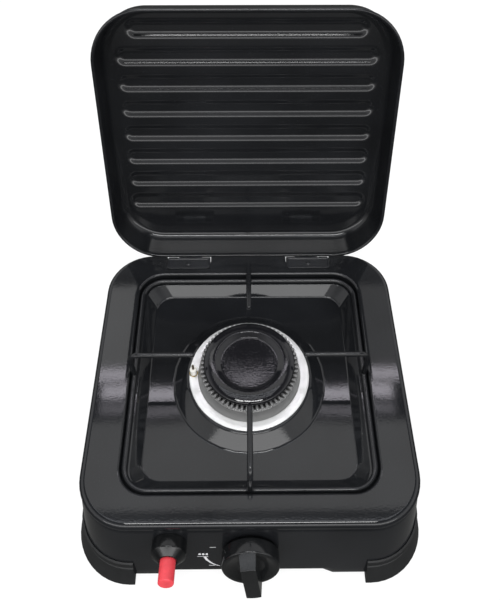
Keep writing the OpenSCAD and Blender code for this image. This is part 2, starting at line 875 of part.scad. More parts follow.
body_shell();
foot_front_left();
foot_front_right();
foot_rear_left();
foot_rear_right();
hinge_bracket_left();
hinge_bracket_right();
hinge_pin_left();
hinge_pin_right();
burner_cup();
burner_crown();
burner_cap();
burner_clamp();
venturi_tube();
venturi_bracket();
injector();
gas_valve();
valve_nut();
valve_spindle();
gas_pipe();
gas_inlet();
inlet_nut();
igniter_body();
igniter_collar();
igniter_button();
ignition_lead();
electrode_ceramic();
electrode_pin();
electrode_clip();
pan_support();
lid();
lid_strap_left();
lid_strap_right();
knob();
knob_insert();
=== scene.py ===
"""One-burner gas tabletop stove: dressed pieces, finishes, camera and light over its solid frame."""
import math

import bmesh
import bpy
from bpy.props import FloatProperty, FloatVectorProperty, PointerProperty
from mathutils import Matrix, Vector


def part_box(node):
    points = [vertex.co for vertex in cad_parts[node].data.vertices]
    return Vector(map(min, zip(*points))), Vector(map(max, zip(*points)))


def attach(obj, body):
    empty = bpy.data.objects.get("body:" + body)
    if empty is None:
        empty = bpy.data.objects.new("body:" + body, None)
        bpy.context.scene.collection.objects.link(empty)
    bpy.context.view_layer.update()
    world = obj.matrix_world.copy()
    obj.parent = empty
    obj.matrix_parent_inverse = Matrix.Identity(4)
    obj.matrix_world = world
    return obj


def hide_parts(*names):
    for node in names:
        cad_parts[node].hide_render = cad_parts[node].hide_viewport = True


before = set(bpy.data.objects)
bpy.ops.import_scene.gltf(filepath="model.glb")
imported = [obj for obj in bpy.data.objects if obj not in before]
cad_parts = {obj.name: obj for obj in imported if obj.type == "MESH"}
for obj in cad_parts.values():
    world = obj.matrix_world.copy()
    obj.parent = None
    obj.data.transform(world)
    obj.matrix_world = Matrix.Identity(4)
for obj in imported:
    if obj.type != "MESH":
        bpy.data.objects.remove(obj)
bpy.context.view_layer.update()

bl_info = {
    "name": "Tabletop Stove Builder",
    "version": (1, 1, 0),
    "blender": (4, 5, 0),
    "location": "View3D > Sidebar > Stove",
    "description": "Builds the dressed pieces of a one-burner gas tabletop stove over its solid frame",
    "category": "Object",
}

MM = 0.001


def box_mm(node):
    """Lowest and highest corner of a solid of the frame, in mm."""
    low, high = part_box(node)
    return low / MM, high / MM


def linear(code):
    """Linear colour of an sRGB hex code."""
    parts = (int(code[i:i + 2], 16) / 255 for i in (0, 2, 4))
    return (*(c / 12.92 if c <= 0.04045 else ((c + 0.055) / 1.055) ** 2.4 for c in parts), 1.0)


# ---- places and sizes read from the frame, mm ----

SHELL_LOW, SHELL_HIGH = box_mm("body_shell")
ROLL = 5.0                                  # radius of the top plate's rolled edge
LIP = 0.6                                   # how far the roll stands out over the walls
CORNER = 40.0                               # plan radius of the top plate's corners
FRONT = math.radians(17)                    # outward slope of the front panel
SIDE = math.radians(4)                      # outward slope of the other walls
TOP, SKIRT_Z = SHELL_HIGH.z, SHELL_LOW.z
RIM = TOP - ROLL
HALF_X = SHELL_HIGH.x - (RIM - SKIRT_Z) * math.tan(SIDE) + LIP
HALF_Y = SHELL_HIGH.y - (RIM - SKIRT_Z) * math.tan(SIDE) + LIP
FRONT_CUT = 5.0                             # how far the lower edge is raised between the feet

WIRE_LOW, WIRE_HIGH = box_mm("pan_support")
LEDGE = WIRE_LOW.z
RING_HIGH = box_mm("burner_cup")[1]
RING_R, RING_Z = RING_HIGH.x, RING_HIGH.z - 1.6
FLOOR = RING_Z - 10.5
CROWN_LOW, CROWN_HIGH = box_mm("burner_crown")
CAP_LOW, CAP_HIGH = box_mm("burner_cap")
CAP_R, CAP_Z = CAP_HIGH.x, CAP_LOW.z + 4

PIN_LOW, PIN_HIGH = box_mm("hinge_pin_right")
AXIS_Y, AXIS_Z = (PIN_LOW.y + PIN_HIGH.y) / 2, (PIN_LOW.z + PIN_HIGH.z) / 2
HINGE_X, HINGE_W = (PIN_LOW.x + PIN_HIGH.x) / 2, PIN_HIGH.x - PIN_LOW.x
OPEN = math.radians(108)                    # how far the lid is turned back from shut
LID_LOW, LID_HIGH = box_mm("lid")
LID_W, LID_L, LID_R, LID_H = LID_HIGH.x - LID_LOW.x, 234.0, 45.0, 32.4
LID_Z = TOP + 0.3
LID_REAR = AXIS_Y + 1
LID_CY = LID_REAR - LID_L / 2
DRAFT = math.radians(6.8)                   # how far the lid's walls lean

KNOB_LOW, KNOB_HIGH = box_mm("knob")
BUTTON_LOW, BUTTON_HIGH = box_mm("igniter_button")
COLLAR_LOW, COLLAR_HIGH = box_mm("igniter_collar")
KNOB_Z = RIM - 26
IGNITER_X, IGNITER_Z = (BUTTON_LOW.x + BUTTON_HIGH.x) / 2, RIM - 16.5


def wall_y(z):
    """Front panel's y at a height."""
    return -(HALF_Y - LIP) - (RIM - z) * math.tan(FRONT)


def rear_y(z):
    return HALF_Y - LIP + (RIM - z) * math.tan(SIDE)


def side_x(z):
    return HALF_X - LIP + (RIM - z) * math.tan(SIDE)


# ---- what a user would change ----

def length(name, description, mm):
    """A length that the user can change, given in mm."""
    return FloatProperty(name=name, description=description, default=mm * MM, unit="LENGTH")


def tint(name, description, code):
    """A colour that the user can change, given as an sRGB hex code."""
    return FloatVectorProperty(name=name, description=description, size=4, subtype="COLOR",
                               default=linear(code))


class StoveSizes(bpy.types.PropertyGroup):
    """Sizes of the dressed pieces."""
    sheet: length("Sheet", "Thickness of the enamelled body sheet", 1.2)
    recess_width: length("Recess width", "Width of the recess in the top", 200)
    recess_depth: length("Recess depth", "Depth of the recess front to back", 202)
    recess_corner: length("Recess corner", "Plan radius of the recess corners", 22)
    rib_depth: length("Rib depth", "How far the lid's ribs are pressed out", 1.9)
    rib_width: length("Rib width", "Width of a rib's mouth on the inside", 14.6)
    rib_pitch: length("Rib pitch", "Distance from one rib to the next", 23.5)
    wire: length("Wire", "Diameter of the pan support's wire", 4.6)
    tooth_gap: length("Flame slot", "Width of a slot between the crown's teeth", 1.9)
    knob: length("Knob", "Diameter of the control knob", KNOB_HIGH.x - KNOB_LOW.x)
    grip_width: length("Grip width", "Width of the knob's grip bar", 11)
    collar: length("Collar", "Diameter of the igniter's collar", COLLAR_HIGH.x - COLLAR_LOW.x)
    button: length("Button", "Diameter of the igniter's button", BUTTON_HIGH.x - BUTTON_LOW.x)
    foot_height: length("Foot height", "Height of each foot's outer slope", 17.5)
    mark: length("Mark line", "Width of the printed control lines", 0.55)
    peel: length("Orange peel", "Grain of the enamel's orange peel", 1.5)

    def mm(self, key):
        """One of the sizes, in mm."""
        return getattr(self, key) / MM


class StoveColours(bpy.types.PropertyGroup):
    """Colours of the finishes."""
    enamel: tint("Enamel", "Enamel of the body and lid", "1a1b1d")
    cap: tint("Cap enamel", "Thick enamel of the burner cap", "18181b")
    moulding: tint("Mouldings", "Black plastic of feet and knob", "18191a")
    button: tint("Button", "Plastic of the igniter's button", "e2464f")
    aluminium: tint("Aluminium", "Burner ring and crown", "f2f2f1")
    steel: tint("Steel", "Pins, nuts and brackets", "b4b7ba")
    brass: tint("Brass", "Valve, injector and inlet", "bd9a58")
    marks: tint("Marks", "Printed control marks", "d8d8da")


def shade(colour, k):
    """A colour made darker or lighter by a factor."""
    return (*(min(c * k, 1.0) for c in tuple(colour)[:3]), 1.0)


# ---- finishes ----

def add(tree, kind, inputs, stops=None, **settings):
    """Adds a shader node with its settings, fills its inputs with values or links, returns its outputs."""
    node = tree.nodes.new("ShaderNode" + kind)
    for key, value in settings.items():
        setattr(node, key, value)
    for key, value in inputs.items():
        if isinstance(value, bpy.types.NodeSocket):
            tree.links.new(value, node.inputs[key])
        else:
            node.inputs[key].default_value = value
    if stops:
        ramp = node.color_ramp.elements
        ramp[0].position, ramp[0].color = stops[0]
        ramp[1].position, ramp[1].color = stops[-1]
        for place, colour in stops[1:-1]:
            ramp.new(place).color = colour
    return node.outputs


def bare(name):
    """A new material of that name with an empty tree, the tree and its object coordinates."""
    material = bpy.data.materials.new(name)
    material.use_nodes = True
    tree = material.node_tree
    tree.nodes.clear()
    return material, tree, add(tree, "TexCoord", {})["Object"]


def enamel(tree, place, colour, rough, peel_mm, peel, wave):
    """Vitreous enamel fired on pressed steel. To the eye: black glass that mirrors lamps and table,
    with an orange peel that breaks each reflection into sparks, a slow waviness and fine pits."""
    slow, pits, fine, swell = (
        add(tree, "TexNoise", {"Vector": place, "Scale": 1000 / size_mm, "Detail": detail})[0]
        for size_mm, detail in ((60, 2.0), (1.1, 1.0), (peel_mm, 2.0), (38, 1.0)))
    tone = add(tree, "ValToRGB", {"Fac": slow}, [(0.3, shade(colour, 0.75)), (0.75, shade(colour, 1.3))])[0]
    spots = add(tree, "ValToRGB", {"Fac": pits}, [(0.69, (0, 0, 0, 1)), (0.75, (1, 1, 1, 1))])[0]
    mixed = add(tree, "Mix", {"Factor": spots, 6: tone, 7: shade(colour, 2)}, data_type="RGBA")[2]
    gloss = add(tree, "MapRange", {"Value": swell, "To Min": rough * 0.8, "To Max": rough * 1.25})[0]
    first = add(tree, "Bump", {"Height": swell, "Distance": 0.5 * MM, "Strength": wave})[0]
    second = add(tree, "Bump", {"Height": fine, "Distance": peel * MM, "Normal": first})[0]
    return add(tree, "BsdfPrincipled", {"Base Color": mixed, "Roughness": gloss, "IOR": 1.52,
                                        "Normal": second})[0]


def moulding(tree, place, colour, rough, grain_mm, grain):
    """Plastic moulded in a steel tool. To the eye: an even body colour with a fine spark-eroded grain
    that spreads the highlights, and slightly polished high spots."""
    cloud = add(tree, "TexNoise", {"Vector": place, "Scale": 1000 / 9, "Detail": 3.0})[0]
    grit = add(tree, "TexNoise", {"Vector": place, "Scale": 1000 / grain_mm, "Detail": 2.0})[0]
    tone = add(tree, "ValToRGB", {"Fac": cloud}, [(0.35, shade(colour, 0.85)), (0.7, shade(colour, 1.12))])[0]
    gloss = add(tree, "MapRange", {"Value": grit, "To Min": rough * 0.85, "To Max": rough * 1.2})[0]
    skin = add(tree, "Bump", {"Height": grit, "Distance": 0.05 * MM, "Strength": grain})[0]
    return add(tree, "BsdfPrincipled", {"Base Color": tone, "Roughness": gloss, "Normal": skin})[0]


def drawn(tree, place, colour, rough, streak_mm, along=(1, 1, 14)):
    """Drawn, plated or machined metal. To the eye: fine streaks across the long direction, with a
    slow tarnish that dulls the colour in patches."""
    cloud = add(tree, "TexNoise", {"Vector": place, "Scale": 1000 / 12, "Detail": 4.0})[0]
    long = add(tree, "Mapping", {"Vector": place, "Scale": along})[0]
    streak = add(tree, "TexNoise", {"Vector": long, "Scale": 1000 / streak_mm, "Detail": 3.0})[0]
    tone = add(tree, "ValToRGB", {"Fac": cloud}, [(0.3, shade(colour, 0.6)), (0.62, shade(colour, 1.0))])[0]
    gloss = add(tree, "MapRange", {"Value": streak, "To Min": rough * 0.7, "To Max": rough * 1.4})[0]
    skin = add(tree, "Bump", {"Height": streak, "Distance": 0.02 * MM, "Strength": 0.25})[0]
    return add(tree, "BsdfPrincipled", {"Base Color": tone, "Roughness": gloss, "Metallic": 1.0,
                                        "Normal": skin})[0]


def turned(tree, place, colour, rough, pitch_mm, grain):
    """Aluminium turned or spun about the burner's axis. To the eye: fine rings round the axis and a
    faint bloom of heat stains."""
    flat = add(tree, "VectorMath", {0: place, 1: (1, 1, 0)}, operation="MULTIPLY")[0]
    reach = add(tree, "VectorMath", {0: flat}, operation="LENGTH")[1]
    height = add(tree, "SeparateXYZ", {0: place})[2]
    both = add(tree, "Math", {0: reach, 1: height}, operation="ADD")[0]
    line = add(tree, "CombineXYZ", {0: both})[0]
    rings = add(tree, "TexNoise", {"Vector": line, "Scale": 1000 / pitch_mm, "Detail": 3.0})[0]
    stain = add(tree, "TexNoise", {"Vector": place, "Scale": 1000 / 9, "Detail": 4.0})[0]
    tone = add(tree, "ValToRGB", {"Fac": stain}, [(0.3, shade(colour, 0.9)), (0.6, shade(colour, 1.0))])[0]
    gloss = add(tree, "MapRange", {"Value": rings, "To Min": rough * 0.75, "To Max": rough * 1.3})[0]
    skin = add(tree, "Bump", {"Height": rings, "Distance": 0.03 * MM, "Strength": grain})[0]
    return add(tree, "BsdfPrincipled", {"Base Color": tone, "Roughness": gloss, "Metallic": 0.5,
                                        "Normal": skin})[0]


def printed(tree, place, colour):
    """Silk-screen ink on enamel. To the eye: a thin matt film that thins out in places."""
    film = add(tree, "TexNoise", {"Vector": place, "Scale": 1000 / 0.5, "Detail": 3.0})[0]
    tone = add(tree, "ValToRGB", {"Fac": film}, [(0.25, shade(colour, 0.5)), (0.5, shade(colour, 1.0))])[0]
    skin = add(tree, "Bump", {"Height": film, "Distance": 0.01 * MM, "Strength": 0.2})[0]
    return add(tree, "BsdfPrincipled", {"Base Color": tone, "Roughness": 0.5, "Normal": skin})[0]


def finish(name):
    """The finish of that name, made when it is first asked for."""
    if name in bpy.data.materials:
        return bpy.data.materials[name]
    sizes, colours = bpy.context.scene.stove_sizes, bpy.context.scene.stove_colours
    peel = sizes.mm("peel")
    recipes = {
        # pressed body: thinly fired, so the peel is fine and sharp
        "gloss_black_enamel": (enamel, colours.enamel, 0.05, peel, 0.012, 0.04),
        # lid: the same enamel with a flatter peel, so its gloss is softer and calmer
        "gloss_black_lid_enamel": (enamel, colours.enamel, 0.12, peel * 1.3, 0.003, 0.06),
        # burner cap: a thick coat with a heavy peel
        "thick_black_cap_enamel": (enamel, colours.cap, 0.05, peel, 0.045, 0.1),
        # wire: dipped enamel, drawn into a soft wave
        "dipped_black_wire_enamel": (enamel, colours.enamel, 0.16, peel * 1.5, 0.03, 0.1),
        # feet: satin black plastic that hides scuffs
        "satin_black_foot_plastic": (moulding, colours.moulding, 0.5, 0.5, 0.5),
        # knob: phenolic, pressed hot, so it is hard and rather glossy
        "black_phenolic": (moulding, shade(colours.moulding, 0.9), 0.15, 0.4, 0.06),
        # collar: glossy black plastic
        "gloss_black_collar_plastic": (moulding, shade(colours.moulding, 0.7), 0.16, 0.6, 0.06),
        # button: red plastic, polished by the thumb
        "red_button_plastic": (moulding, colours.button, 0.3, 1.0, 0.12),
        # hinge plates: steel with black paint that rounds the edges
        "black_painted_steel": (enamel, shade(colours.enamel, 1.5), 0.3, peel, 0.02, 0.1),
        # burner ring: spun and polished, nearly white under lamps
        "spun_aluminium": (turned, colours.aluminium, 0.24, 0.5, 0.05),
        # crown: die cast and turned; its aluminium is darkened to a quarter as painted shade, for the dim
        # reflection that lies under the cap
        "cast_aluminium": (turned, shade(colours.aluminium, 0.24), 0.36, 0.8, 0.12),
        # fittings: turned brass
        "turned_brass": (drawn, colours.brass, 0.28, 1.5),
        # pins, nuts and brackets: zinc plate
        "zinc_plated_steel": (drawn, colours.steel, 0.32, 3.0),
        # gas pipe: drawn aluminium
        "drawn_aluminium_tube": (drawn, shade(colours.aluminium, 0.75), 0.3, 2.0, (14, 1, 14)),
        # mixing tube: plain drawn steel
        "drawn_steel_tube": (drawn, shade(colours.steel, 0.75), 0.36, 3.0),
        # electrode wire: browned by heat
        "heat_browned_wire": (drawn, linear("6d6355"), 0.45, 2.0),
        # electrode clip: yellow passivated steel
        "passivated_clip": (drawn, linear("a89152"), 0.35, 2.0),
        # igniter housing: off-white plastic
        "off_white_moulding": (moulding, linear("e0ddd4"), 0.45, 1.0, 0.2),
        # electrode: glazed ceramic, smooth and bright
        "glazed_ceramic": (moulding, linear("eeebe4"), 0.15, 2.0, 0.1),
        # ignition lead: silicone rubber
        "black_silicone_lead": (moulding, linear("1f1f21"), 0.55, 0.6, 0.3),
        # control marks: white ink
        "white_screen_ink": (printed, colours.marks),
    }
    recipe, *values = recipes[name]
    material, tree, place = bare(name)
    add(tree, "OutputMaterial", {"Surface": recipe(tree, place, *values)})
    return material


# ---- mesh tools, mm ----

def seat(piece, body, replaces):
    """Puts a piece into the scene on its body, for the solids that it replaces."""
    bpy.context.scene.collection.objects.link(piece)
    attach(piece, body)
    if replaces:
        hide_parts(*replaces)
    return piece


def keep(name, bm, material, body, slot, replaces=(), turn=None, smooth=True):
    """Turns a bmesh in mm into a finished piece with its finish, on its body; the slot argument is not used.
    """
    bmesh.ops.scale(bm, vec=(MM, MM, MM), verts=bm.verts)
    if turn:
        bmesh.ops.transform(bm, matrix=turn, verts=bm.verts)
    bmesh.ops.recalc_face_normals(bm, faces=bm.faces)
    mesh = bpy.data.meshes.new(name)
    bm.to_mesh(mesh)
    bm.free()
    mesh.polygons.foreach_set("use_smooth", [smooth] * len(mesh.polygons))
    mesh.materials.append(finish(material))
    return seat(bpy.data.objects.new(name, mesh), body, replaces)


def even(piece):
    """Evens the shading of broad faces."""
    piece.modifiers.new("even_shading", "WEIGHTED_NORMAL").keep_sharp = True


def soften(piece, width_mm, segments=2, angle=35):
    """Rounds the edges sharper than an angle."""
    edges = piece.modifiers.new("rounded_edges", "BEVEL")
    edges.width = width_mm * MM
    edges.segments = segments
    edges.limit_method = "ANGLE"
    edges.angle_limit = math.radians(angle)
    edges.profile = 0.5
    edges.material = -1
    even(piece)


def thicken(piece, thickness_mm, offset):
    """Gives a sheet its thickness."""
    sheet = piece.modifiers.new("sheet", "SOLIDIFY")
    sheet.thickness = thickness_mm * MM
    sheet.offset = offset
    even(piece)


def rounded(x0, x1, y0, y1, r, z, turn=12, run=8):
    """Points of a rounded rectangle, with points along its straight sides too."""
    corners = ((x1 - r, y1 - r, 0), (x0 + r, y1 - r, 90), (x0 + r, y0 + r, 180), (x1 - r, y0 + r, 270))
    points = []
    for cx, cy, start in corners:
        points += [Vector((x, y, z)) for x, y in arc(cx, cy, r, start, start + 90, turn)]
    return with_runs(points, turn, run)


def tilted(hw, hl, r, slope, z, turn=12, run=8):
    """Level section through four walls of one slope whose corners are rounded by leaning cylinders."""
    tan = math.tan(slope)
    major, inset = r * math.sqrt(1 + 2 * tan * tan), r * math.sqrt(1 + tan * tan)
    points = []
    for k, (sx, sy) in enumerate(((1, 1), (-1, 1), (-1, -1), (1, -1))):
        axis = math.radians(45 + 90 * k)
        for i in range(turn + 1):
            # even steps of the wall's direction, from one side round to the next
            facing = math.radians(-45 + 90 * i / turn)
            t = math.atan2(r * math.sin(facing), major * math.cos(facing))
            u, v = major * math.cos(t), r * math.sin(t)
            points.append(Vector((sx * (hw - inset) + u * math.cos(axis) - v * math.sin(axis),
                                  sy * (hl - inset) + u * math.sin(axis) + v * math.cos(axis), z)))
    return with_runs(points, turn, run)


def with_runs(points, turn, run):
    """Adds even points along the straight sides between corners of turn + 1 points each."""
    out = []
    for k in range(4):
        corner = points[k * (turn + 1):(k + 1) * (turn + 1)]
        after = points[((k + 1) * (turn + 1)) % len(points)]
        out += corner + [corner[-1].lerp(after, i / run) for i in range(1, run)]
    return out


def circle_like(points, r, z):
    """A circle with one point in the direction of each given point."""
    return [Vector((r * p.x, r * p.y, 0)) / math.hypot(p.x, p.y) + Vector((0, 0, z)) for p in points]


def loft(bm, loops):
    """Bridges closed loops of points one after another, and returns the first and last loop's edges."""
    rings = []
    for points in loops:
        verts = [bm.verts.new(p) for p in points]
        rings.append([bm.edges.new(pair) for pair in zip(verts, verts[1:] + verts[:1])])
        if len(rings) > 1:
            bmesh.ops.bridge_loops(bm, edges=rings[-2] + rings[-1])
    return rings[0], rings[-1]


def arc(cx, cy, r, a0, a1, n):
    """Points of a flat arc, angles in degrees."""
    return [(cx + r * math.cos(math.radians(a0 + (a1 - a0) * i / n)),
             cy + r * math.sin(math.radians(a0 + (a1 - a0) * i / n))) for i in range(n + 1)]


def spun(bm, profile, steps):
    """Spins a closed profile of (radius, height) about the upright axis."""
    verts = [bm.verts.new((r, 0, z)) for r, z in profile]
    edges = [bm.edges.new(pair) for pair in zip(verts, verts[1:] + verts[:1])]
    bmesh.ops.spin(bm, geom=verts + edges, cent=(0, 0, 0), axis=(0, 0, 1), angle=2 * math.pi,
                   steps=steps, use_merge=True, use_duplicate=False)
    bmesh.ops.remove_doubles(bm, verts=bm.verts, dist=0.001)


def spun_piece(name, profile, steps, *rest, **more):
    """A piece of its own, spun from a closed profile and evenly shaded."""
    bm = bmesh.new()
    spun(bm, profile, steps)
    even(keep(name, bm, *rest, **more))


def only(parts, kind):
    """The corners, edges or faces among the parts that a bmesh operator gives back."""
    return [part for part in parts if isinstance(part, kind)]


def prism(bm, outline, along):
    """Extrudes a flat outline, and returns the faces of its far end."""
    face = bm.faces.new([bm.verts.new(p) for p in outline])
    grown = bmesh.ops.extrude_face_region(bm, geom=[face], use_keep_orig=True)["geom"]
    bmesh.ops.translate(bm, vec=along, verts=only(grown, bmesh.types.BMVert))
    return only(grown, bmesh.types.BMFace)


def block(bm, x0, x1, y0, y1, z0, z1):
    """A box between two corners."""
    size = Matrix.Diagonal((x1 - x0, y1 - y0, z1 - z0, 1))
    centre = Matrix.Translation(((x0 + x1) / 2, (y0 + y1) / 2, (z0 + z1) / 2))
    return bmesh.ops.create_cube(bm, size=1, matrix=centre @ size)["verts"]


def split(bm, point, normal, faces):
    """Splits some faces along a plane."""
    parts = faces + [e for f in faces for e in f.edges] + [v for f in faces for v in f.verts]
    bmesh.ops.bisect_plane(bm, geom=list(dict.fromkeys(parts)), plane_co=point, plane_no=normal, dist=1e-4)


def trim(bm, point, normal):
    """Cuts off what lies beyond a plane and closes the cut."""
    parts = bm.verts[:] + bm.edges[:] + bm.faces[:]
    done = bmesh.ops.bisect_plane(bm, geom=parts, plane_co=point, plane_no=normal, dist=1e-4,
                                  clear_outer=True)
    bmesh.ops.edgeloop_fill(bm, edges=only(done["geom_cut"], bmesh.types.BMEdge))


def faces_where(bm, test):
    """The faces whose middle passes a test."""
    return [f for f in bm.faces if test(f.calc_center_median())]


def on_panel(x, z):
    """Matrix in metres that sets a piece made about the origin square on the front panel."""
    return Matrix.Translation((x * MM, wall_y(z) * MM, z * MM)) @ \
        Matrix.Rotation(math.pi / 2 - FRONT, 4, "X")


def lid_opened():
    """Matrix in metres from the lid's shut to its open place."""
    axis = Vector((0, AXIS_Y * MM, AXIS_Z * MM))
    return Matrix.Translation(axis) @ Matrix.Rotation(-OPEN, 4, "X") @ Matrix.Translation(-axis)


def wire(name, points, r, material, body, slot, closed=False, turn=None, replaces=()):
    """A round wire along points given in mm."""
    curve = bpy.data.curves.new(name, "CURVE")
    curve.dimensions = "3D"
    curve.bevel_depth = r * MM
    curve.bevel_resolution = 6
    curve.use_fill_caps = True
    line = curve.splines.new("POLY")
    line.points.add(len(points) - 1)
    for spot, point in zip(line.points, points):
        at = Vector(point) * MM
        spot.co = (*(turn @ at if turn else at), 1)
    line.use_cyclic_u = closed
    line.use_smooth = True
    curve.materials.append(finish(material))
    seat(bpy.data.objects.new(name, curve), body, replaces)


# ---- pieces ----

class STOVE_OT_body(bpy.types.Operator):
    """Builds the pressed body: skirt, rolled edge, recess, tray and raised cone in one sheet."""
    bl_idname = "stove.body"
    bl_label = "Body pressing"

    def execute(self, context):
        sizes = context.scene.stove_sizes
        bm = bmesh.new()
        loops = [rounded(-side_x(z), side_x(z), wall_y(z), rear_y(z), CORNER, z)
                 for z in (SKIRT_Z, 12, 20, 30, 40, 50, 57, 59.4)]
        roll = [(-0.9, RIM - 1.8), (-0.35, RIM - 1.2)] + arc(-ROLL, RIM, ROLL, -8, 90, 10)
        loops += [rounded(-HALF_X - d, HALF_X + d, -HALF_Y - d, HALF_Y + d, CORNER + d, z)
                  for d, z in roll]
        rx, ry = sizes.mm("recess_width") / 2, sizes.mm("recess_depth") / 2
        rr = sizes.mm("recess_corner")
        well = [(4.0, TOP)] + arc(2.0, TOP - 2, 2.0, 90, 180, 5) + arc(-1.2, LEDGE + 1.2, 1.2, 0, -90, 3)
        loops += [rounded(-rx - d, rx + d, -ry - d, ry + d, rr + d, z) for d, z in well]
        # the tray's walls fold crisply at the ledge and at the floor
        run, width = 8.6, 6.5
        slope = math.atan2(run, LEDGE - FLOOR)
        walls = [(0, LEDGE), (0.35, LEDGE - 0.15), (run - 0.9, FLOOR + 0.75), (run - 0.3, FLOOR + 0.2),
                 (run + 0.4, FLOOR)]
        loops += [tilted(rx - width - d, ry - width - d, 22, slope, z) for d, z in walls]
        guide = loops[-1]
        cone = [(65.5, FLOOR), (64.2, FLOOR + 0.25), (63.1, FLOOR + 0.9)]
        cone += [(53.0, RING_Z - 0.75), (52.1, RING_Z - 0.2), (50.6, RING_Z), (39.6, RING_Z)]
        loops += [circle_like(guide, r, z) for r, z in cone]
        loft(bm, loops)
        self.raise_middle(bm)
        self.notch(bm)
        piece = keep("body_pressing", bm, "gloss_black_enamel", "stove", "enamel", ["body_shell"])
        thicken(piece, sizes.mm("sheet"), -1.0)
        return {"FINISHED"}

    def raise_middle(self, bm):
        """Raises the lower edge between the feet, at the front and at the rear."""
        # the slanted ends of the raised part lie between these cuts
        for x in (-72, -64, 56, 64, 72):
            split(bm, (x, 0, 0), (1, 0, 0), faces_where(bm, lambda c: c.z < 13))
        for side, right, slope in ((-1, 56.1, FRONT), (1, 64.1, -SIDE)):
            low = [v for v in bm.verts if v.co.z < SKIRT_Z + 0.1 and -64.1 < v.co.x < right
                   and side * v.co.y > 100]
            bmesh.ops.translate(bm, vec=(0, FRONT_CUT * math.tan(slope), FRONT_CUT), verts=low)

    def notch(self, bm):
        """Opens the rear edge for the hinges."""
        half, y, z = HINGE_W / 2 + 1, AXIS_Y - 7, AXIS_Z - 5.8
        cuts = [((side * HINGE_X + end * half, 0, 0), (1, 0, 0)) for side in (-1, 1) for end in (-1, 1)]
        for point, normal in cuts + [((0, y, 0), (0, 1, 0)), ((0, 0, z), (0, 0, 1))]:
            split(bm, point, normal, faces_where(bm, lambda c: c.y > 100 and c.z > 45))
        gone = faces_where(bm, lambda c: c.y > y and c.z > z and abs(abs(c.x) - HINGE_X) < half)
        bmesh.ops.delete(bm, geom=gone, context="FACES")


class STOVE_OT_lid(bpy.types.Operator):
    """Builds the lid: a ribbed panel drawn down into its walls, and the rolled rim."""
    bl_idname = "stove.lid"
    bl_label = "Lid"

    def execute(self, context):
        sizes = context.scene.stove_sizes
        bend = 8.0
        cz = LID_H - bend
        cx = LID_R - cz * math.tan(DRAFT) - bend / math.cos(DRAFT)
        ax, ay = LID_W / 2 - LID_R, LID_L / 2 - LID_R
        rows, columns = 420, 88
        bm = bmesh.new()
        bmesh.ops.create_grid(bm, x_segments=columns, y_segments=rows, size=1)
        for v in bm.verts:
            y = self.row(v.co.y, ay, cx)
            over = max(abs(y) - ay, 0.0)
            width = ax + math.sqrt(max(cx * cx - over * over, 0.0))
            x = self.column(v.co.x, width)
            depth = self.pressed(x, LID_CY + y, sizes)
            v.co = (x, LID_CY + y, LID_Z + LID_H - 1 + depth)
        # the walls are drawn out from the panel's edge, ring by ring
        walls = arc(cx, cz, bend - 1, 90, math.degrees(DRAFT), 7)[1:]
        foot = LID_R - 1 / math.cos(DRAFT)
        walls += [(foot - z * math.tan(DRAFT), z) for z in (14, 6, 0.6)]
        edge = [e for e in bm.edges if e.is_boundary]
        for reach, z in walls:
            grown = bmesh.ops.extrude_edge_only(bm, edges=edge)["geom"]
            edge = only(grown, bmesh.types.BMEdge)
            for v in only(grown, bmesh.types.BMVert):
                centre = Vector((min(max(v.co.x, -ax), ax), min(max(v.co.y, LID_CY - ay), LID_CY + ay)))
                out = (v.co.xy - centre).normalized() * reach
                v.co = (centre.x + out.x, centre.y + out.y, LID_Z + z)
        piece = keep("lid_pressing", bm, "gloss_black_lid_enamel", "lid", "lid_enamel", ["lid"],
                     turn=lid_opened())
        thicken(piece, 1.0, 1.0)
        w, l = LID_W / 2 - 1.2, LID_L / 2 - 1.2
        rim = rounded(-w, w, LID_CY - l, LID_CY + l, LID_R - 1.2, LID_Z + 1.5, 14, 1)
        wire("lid_rolled_rim", rim, 1.5, "gloss_black_lid_enamel", "lid", "lid_enamel", closed=True,
             turn=lid_opened(), replaces=["lid"])
        return {"FINISHED"}

    @staticmethod
    def row(t, ay, r):
        """Row place for t from -1 to 1: even in the middle, even by angle round the corners."""
        share = 0.58
        if abs(t) < share:
            return ay * t / share
        turn = math.radians(90 * (abs(t) - share) / (1 - share))
        return math.copysign(ay + r * math.sin(turn), t)

    @staticmethod
    def column(t, width):
        """Column place for t from -1 to 1: coarse along the ribs, fine round their ends."""
        share = 0.5
        if abs(t) < share:
            return 0.82 * width * t / share
        return math.copysign(width * (0.82 + 0.18 * (abs(t) - share) / (1 - share)), t)

    @staticmethod
    def pressed(x, y, sizes):
        """How far the panel is pressed out at a point of the shut lid."""
        mouth, depth, pitch = sizes.mm("rib_width") / 2, sizes.mm("rib_depth"), sizes.mm("rib_pitch")
        first, last, ramp = LID_REAR - 46.3, 7, 3.2
        i = min(max(round((first - y) / pitch), 0), last)
        # the last rib lies between the rounded corners, so it is shorter
        half = LID_W / 2 - (26 if i == last else 15)
        along = max(abs(x) - (half - mouth), 0.0)
        # 0 at the mouth's edge and 1 at the rib's floor, eased in and out over the whole ramp
        t = (mouth - math.hypot(along, y - first + i * pitch)) / ramp
        if t < 0.5:
            return depth * max(t + 0.5, 0.0) ** 2 / 2
        return depth * (1 - max(1.5 - t, 0.0) ** 2 / 2)


